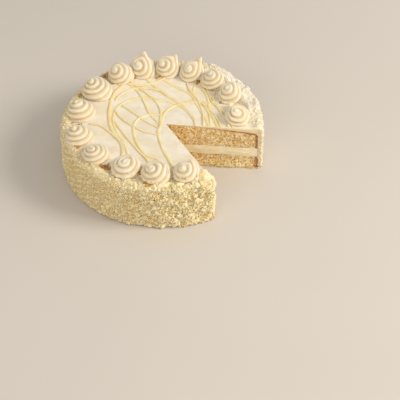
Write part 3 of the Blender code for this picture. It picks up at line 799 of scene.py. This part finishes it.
def cream_lumps():
    """Eggs whose radius is waved by noise of 7 mm and 3 mm, their tops drawn over to one side."""
    base, faces = ball(5)
    points, all_faces = [], []
    for number, (x, y, z, along, across, up, way) in enumerate(CREAM_LUMPS):
        spots = base * (along, across, up) / 1000
        drift = spots + 0.1 * number
        spots = spots * (1 + 0.34 * cloud(drift, 0.0070, 96) + 0.16 * cloud(drift, 0.0030, 97))[:, None]
        spots[:, 0] -= 18 * np.clip(spots[:, 2], 0, None) ** 2
        ahead = polar(math.radians(way))
        flat = spots[:, :1] * ahead + spots[:, 1:2] * np.array([-ahead[1], ahead[0]])
        points.append(np.column_stack([flat, spots[:, 2]]) + np.array([x, y, z]) / 1000)
        all_faces.append(faces + number * len(base))
    return add_mesh("cream_lumps", np.vstack(points), np.vstack(all_faces))


dragged = cream_material("icing dragged by the knife", "#f8ecc6", "#efdcaa", 0.5)
for smear in (corner_cream(), cream_lumps()):
    smear.data.materials.append(dragged)
    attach(smear, "root")

# Crumb coat
# Pale vanilla cake rubbed to crumbs and pressed by hand into the side while the icing was soft.
# Most are 1 to 4 mm, with larger lumps among them, and some lie over the rim between rosettes.
FULL_RADIUS = 0.1200
BREAKS = 9
# Crumbs are paler round this direction, in degrees, over this spread: partly cream on them, partly painted
# light against the shade there.
CREAMED_AND_LIT_WAY, CREAMED_AND_LIT_SPREAD = 40, 40
EDGE_BAND = 0.0046
FLANK_HEIGHT, FLANK_REACH = 0.014, 0.010


def random_turns(draw, count):
    """Rotation matrices from random unit quaternions (w, x, y, z)."""
    w, x, y, z = draw.normal(size=(4, count))
    length = np.sqrt(w * w + x * x + y * y + z * z)
    w, x, y, z = w / length, x / length, y / length, z / length
    return np.stack([
        np.stack([1 - 2 * (y * y + z * z), 2 * (x * y - z * w), 2 * (x * z + y * w)], -1),
        np.stack([2 * (x * y + z * w), 1 - 2 * (x * x + z * z), 2 * (y * z - x * w)], -1),
        np.stack([2 * (x * z - y * w), 2 * (y * z + x * w), 1 - 2 * (x * x + y * y)], -1),
    ], 1)


def scatter(name, spots, sizes, subdivisions, rough, seed):
    """Broken crumbs as one piece. Each is cut by random planes at distances h, so it reaches
    min(h / (way . plane)), and is then roughened by noise, stretched unevenly and turned at random.

    Crumbs are palest round the direction CREAMED_AND_LIT_WAY, in degrees, where more cream covers them and
    where painted light is added to offset the shade that falls among them there."""
    draw = np.random.default_rng(seed)
    base, faces = ball(subdivisions)
    count = len(spots)
    planes = draw.normal(size=(count, 3, BREAKS))
    planes /= np.linalg.norm(planes, axis=1, keepdims=True)
    facing = np.clip(np.einsum("pj,njk->npk", base, planes), 0.05, None)
    broken = np.clip((draw.uniform(0.45, 0.95, (count, 1, BREAKS)) / facing).min(axis=2), 0.4, 1.5)
    stretch = draw.uniform(0.5, 1.5, (count, 1, 3))
    ripple = base[None] * 1.3 + draw.uniform(0, 90, (count, 1, 3))
    wave = 0.5 * rough * cloud(ripple, 0.8, seed) + 0.6 * rough * cloud(ripple, 0.35, seed + 1)
    local = base[None] * stretch * (broken * (1 + wave))[..., None] * sizes[:, None, None] / 2
    points = spots[:, None] + np.einsum("nij,nkj->nki", random_turns(draw, count), local)
    points = points.reshape(-1, 3)
    points[:, 2] = np.maximum(points[:, 2], 0.0002)
    flat = np.hypot(points[:, 0], points[:, 1])
    points[:, :2] *= np.minimum(1, FULL_RADIUS / np.maximum(flat, 1e-6))[:, None]
    all_faces = (faces[None] + len(base) * np.arange(count)[:, None, None]).reshape(-1, 3)
    obj = add_mesh(name, points, all_faces)
    # Painted light, in part: crumbs near the back right are lightened and made less varied, for the cream
    # on them and to offset the shade among them.
    from_creamed_and_lit = np.degrees(np.arctan2(spots[:, 1], spots[:, 0])) - CREAMED_AND_LIT_WAY
    pale = np.exp(-((from_creamed_and_lit / CREAMED_AND_LIT_SPREAD) ** 2))
    tone = draw.uniform(0, 1, count) * (1 - 0.65 * pale)
    paint(obj, tone=np.repeat(tone, len(base)), pale=np.repeat(pale, len(base)))
    return obj


def side_spots(count, sizes, sink, seed):
    """Places on the side, spread by the R2 sequence (steps of 0.7549 round and 0.5698 up) and
    jittered. A crumb's middle lies sink sizes out of the icing's face, but no further out than the
    full radius allows."""
    draw = np.random.default_rng(seed)
    step = np.arange(count)
    turn = (step * 0.7548776662) % 1.0 * 0.996 + 0.002
    level = (step * 0.5698402910 + draw.uniform(-0.02, 0.02, count)) % 1.0
    kept = draw.uniform(0, 1, count) > 0.7 * smooth(turn, 0.26, 0.14)
    turn, level, sizes = turn[kept], 0.0010 + level[kept] * (ICING_TOP - 0.0022), sizes[kept]
    whole = np.ones(len(turn))
    flat = cake_plan(turn, whole, COAT_RADIUS * whole)
    relief = side_relief(np.column_stack([flat, level]))
    radius = np.minimum(COAT_RADIUS + relief + sink * sizes, FULL_RADIUS - 0.42 * sizes)
    return np.column_stack([cake_plan(turn, whole, radius), level])


def rim_spots(count, low, high, seed):
    """Places on the icing's top near the rim, outside and between the rosettes."""
    draw = np.random.default_rng(seed)
    turn = draw.uniform(0.004, 0.996, count)
    radius = np.sqrt(draw.uniform(low**2, high**2, count))
    flat = cake_plan(turn, np.ones(count), radius)
    kept = draw.uniform(0, 1, count) > 0.5 * smooth(turn, 0.32, 0.22)
    for place, distance, reach, *_ in ROSETTES:
        foot = distance * polar(math.radians(place))
        outside = np.hypot(flat[:, 0], flat[:, 1]) > distance
        kept &= np.linalg.norm(flat - foot, axis=1) > reach * np.where(outside, 0.90, 1.0)
    flat = flat[kept]
    rim = np.clip((np.hypot(flat[:, 0], flat[:, 1]) - (COAT_RADIUS - COAT_EDGE)) / COAT_EDGE, 0, 1)
    return np.column_stack([flat, icing_height(flat) - COAT_EDGE * (1 - np.sqrt(1 - rim**2))])


def crumb_material():
    """Pale vanilla cake crumb: from ivory to straw from crumb to crumb, darker in its pores, and palest
    at the back right, where cream covers it and painted light offsets the shade among the crumbs."""
    made = Nodes("vanilla cake crumbs")
    tone = made.painted("tone")
    colour = made.mix(made.span(tone, 0.0, 0.7), linear("#fbf1d2"), linear("#f3e0ab"))
    colour = made.mix(made.span(tone, 0.80, 1.0, 0.0, 0.85), colour, linear("#dfbd74"))
    fine = made.span(made.noise(0.0009, 3.0, 0.6), 0.4, 0.7, 0.0, 0.45)
    colour = made.mix(fine, colour, linear("#e6cf98"))
    # Painted light, in part: the back right crumbs are turned towards near-white, for cream on them and to
    # offset their shade.
    colour = made.mix(made.times(made.painted("pale"), 0.75), colour, linear("#fffbee"))
    normal = made.bump(made.noise(0.0006, 3.0, 0.6), 0.0003, 0.7)
    return made.surface(colour, normal, 0.88, 0.2, 0.15, (0.002, 0.0015, 0.0008))


def crumb_piece(name, spots, size_range, subdivisions, rough, seed, finish):
    """One piece of crumbs of random sizes, coarser where the coat is coarser."""
    draw = np.random.default_rng(seed + 7)
    sizes = draw.uniform(*size_range, len(spots)) * coarseness(spots)
    piece = scatter(name, spots, sizes, subdivisions, rough, seed)
    piece.data.materials.append(finish)
    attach(piece, "root")


crumb_finish = crumb_material()
for name, count, size_range, subdivisions, rough, sink, seed in (
    ("coarse_side_crumbs", 150, (0.0036, 0.0058), 3, 0.50, 0.0, 201),
    ("side_crumbs", 2400, (0.0016, 0.0040), 2, 0.50, 0.12, 202),
    ("fine_side_crumbs", 9300, (0.0010, 0.0029), 1, 0.35, 0.40, 203),
):
    spots = side_spots(count, np.full(count, sum(size_range) / 2), sink, seed)
    crumb_piece(name, spots, size_range, subdivisions, rough, seed, crumb_finish)
for name, count, inner_radius, size_range, subdivisions, rough, seed in (
    ("rim_crumbs", 1500, 0.1035, (0.0016, 0.0042), 2, 0.50, 204),
    ("fine_rim_crumbs", 4200, 0.1000, (0.0008, 0.0022), 1, 0.35, 205),
):
    spots = rim_spots(count, inner_radius, COAT_RADIUS, seed)
    crumb_piece(name, spots, size_range, subdivisions, rough, seed, crumb_finish)


def cut_edge_spots(count, seed):
    """Places on the cut face of the side icing at any height, most of them close to the corner, and
    0.2 mm out of the face."""
    draw = np.random.default_rng(seed)
    spots = []
    for cut, normal in zip((CUT_A, CUT_B), CUT_NORMALS):
        corner = cut_corner(cut, np.array([COAT_RADIUS]))[0]
        back = EDGE_BAND * draw.uniform(0, 1, count) ** 1.5
        flat = corner - back[:, None] * polar(cut) + 0.0002 * normal[:2]
        spots.append(np.column_stack([flat, draw.uniform(0.001, ICING_TOP, count)]))
    return np.vstack(spots)


crumb_piece("cut_edge_crumbs", cut_edge_spots(200, 206), (0.0008, 0.0022), 1, 0.50, 206, crumb_finish)


def flank_spots(count, seed):
    """Places on the rosettes' flanks that face away from the cake's middle, fewer the higher up."""
    draw = np.random.default_rng(seed)
    kept = []
    for (place, distance, *_), spots in zip(ROSETTES, rosette_spots):
        outward = (spots[:, :2] - distance * polar(math.radians(place))) @ polar(math.radians(place))
        rise = (spots[:, 2] - ICING_TOP) / FLANK_HEIGHT
        likely = np.clip(outward / FLANK_REACH, 0, 1) * np.clip(1 - rise, 0, 1) ** 2 * (rise > 0.02)
        kept.append(spots[draw.choice(len(spots), count, p=likely / likely.sum())])
    return np.vstack(kept)


crumb_piece("clinging_crumbs", flank_spots(26, 207), (0.0008, 0.0024), 2, 0.50, 207, crumb_finish)

# Crust bits
# Crumbs that came from the cake's browned outside: orange-brown, 1 to 4 mm, caught in heaps at
# the feet of the rosettes. Each row gives a heap's middle, in mm, and how many bits it has.
CRUST_HEAPS = (
    (-97, -4, 10), (-90, -15, 18), (-95, -44, 16), (-86, -50, 22), (-66, -78, 26), (-60, -80, 30),
    (-21, -90, 20), (-14, -107, 22), (17, -93, 20), (29, -106, 22), (-36, 84, 12), (-8, 83, 6),
    (42, 76, 24), (55, 63, 10), (71, 36, 14), (76, 5, 12), (-98, 48, 10), (-70, 84, 14),
)


def crust_spots(seed):
    """Places thrown round the middle of each heap, most of them within 4 mm of it."""
    draw = np.random.default_rng(seed)
    heaps = np.array(CRUST_HEAPS)
    middles = np.repeat(heaps[:, :2] / 1000, heaps[:, 2], axis=0)
    flat = middles + draw.normal(0, 0.0020, middles.shape)
    return np.column_stack([flat, icing_height(flat) + draw.uniform(0.0002, 0.0016, len(flat))])


def crust_material():
    """Browned cake crust: orange-brown to gold, dull."""
    made = Nodes("browned cake crust")
    tone = made.painted("tone")
    colour = made.mix(tone, linear("#9c6228"), linear("#cf9a4a"))
    fine = made.span(made.noise(0.0010, 3.0, 0.6), 0.4, 0.7, 0.0, 0.7)
    colour = made.mix(fine, colour, linear("#e6c27e"))
    normal = made.bump(made.noise(0.0006, 3.0, 0.6), 0.0003, 0.7)
    return made.surface(colour, normal, 0.85, 0.2)


crust_finish = crust_material()
crumb_piece("crust_bits", crust_spots(301), (0.0014, 0.0036), 2, 0.5, 301, crust_finish)

# Loose crumbs
# What the knife left at the foot of the two cuts: sponge crumbs of 0.5 to 3 mm lying against
# the lower layer and clinging to it.
CUT_LENGTH = 0.1165


def foot_spots(count, seed):
    """Places on the table along both cuts, most of them close to the sponge's spread foot."""
    draw = np.random.default_rng(seed)
    spots = []
    for cut, normal in zip((CUT_A, CUT_B), CUT_NORMALS):
        share = draw.uniform(0.08, 0.97, count)
        away = FOOT_SPREAD * np.sqrt(np.sin(np.pi * share)) + np.abs(draw.normal(0, 0.0012, count))
        level = np.clip(0.0006 + 0.004 * draw.uniform(-1, 1, count), 0.0006, None)
        flat = WEDGE_TIP + (share * CUT_LENGTH)[:, None] * polar(cut)
        flat = flat + (away - 0.35 * level)[:, None] * normal[:2]
        spots.append(np.column_stack([flat, level]))
    return np.vstack(spots)


def loose_material():
    """Loose sponge crumb, the colour of the open cake, from straw to gold."""
    made = Nodes("loose sponge crumbs")
    colour = made.mix(made.painted("tone"), linear("#f5e4b0"), linear("#e2bf78"))
    normal = made.bump(made.noise(0.0006, 3.0, 0.6), 0.0003, 0.7)
    return made.surface(colour, normal, 0.9, 0.2)


loose_finish = loose_material()
crumb_piece("loose_crumbs", foot_spots(120, 401), (0.0006, 0.0024), 2, 0.5, 401, loose_finish)

# Studio
# A pale warm floor with no edge in view, one soft light high on the right, a wide weak one from
# the front left, and light from all round. The camera looks down by 42.8 degrees.
FLOOR_HALF, FLOOR_LEVEL = 3.0, -0.0004
LIT_SPOT = (0, 0, 0.03)


def floor_material():
    """Matt paper with a hardly visible mottle."""
    made = Nodes("pale studio paper")
    colour = made.mix(made.span(made.noise(0.4), 0.3, 0.7), linear("#d2cabf"), linear("#d6cec3"))
    made.set(made.shader, Base_Color=colour, Roughness=0.85)
    made.shader.inputs["Specular IOR Level"].default_value = 0.15
    return made.material


corners = np.array([(-1, -1, 0), (1, -1, 0), (1, 1, 0), (-1, 1, 0)]) * FLOOR_HALF + (0, 0, FLOOR_LEVEL)
floor = add_mesh("studio_floor", corners, np.array([[0, 1, 2, 3]]))
floor.data.materials.append(floor_material())


def add_light(name, place, size, power, colour):
    """A square soft light that faces the cake."""
    data = bpy.data.lights.new(name, "AREA")
    data.size = size
    data.energy = power
    data.color = linear(colour)[:3]
    lamp = bpy.data.objects.new(name, data)
    lamp.location = place
    lamp.rotation_euler = (Vector(LIT_SPOT) - Vector(place)).to_track_quat("-Z", "Y").to_euler()
    bpy.context.scene.collection.objects.link(lamp)


add_light("key", (1.75, -0.35, 1.29), 0.85, 32.0, "#fffbf5")
add_light("fill", (-0.6, -1.7, 1.1), 1.6, 12.5, "#fdf8f2")
world = bpy.data.worlds.new("studio")
world.use_nodes = True
background = world.node_tree.nodes["Background"].inputs
background["Color"].default_value = linear("#f2efeb")
background["Strength"].default_value = 0.60
bpy.context.scene.world = world
bpy.context.scene.view_settings.view_transform = "Standard"

camera_data = bpy.data.cameras.new("camera")
camera_data.sensor_width = 36.0
camera_data.lens = 135.0
camera_data.clip_end = 20.0
camera = bpy.data.objects.new("camera", camera_data)
camera.location = (0.0439, -1.340, 1.175)
camera.rotation_euler = (math.radians(47.2), 0.0, 0.0)
bpy.context.scene.collection.objects.link(camera)
bpy.context.scene.camera = camera
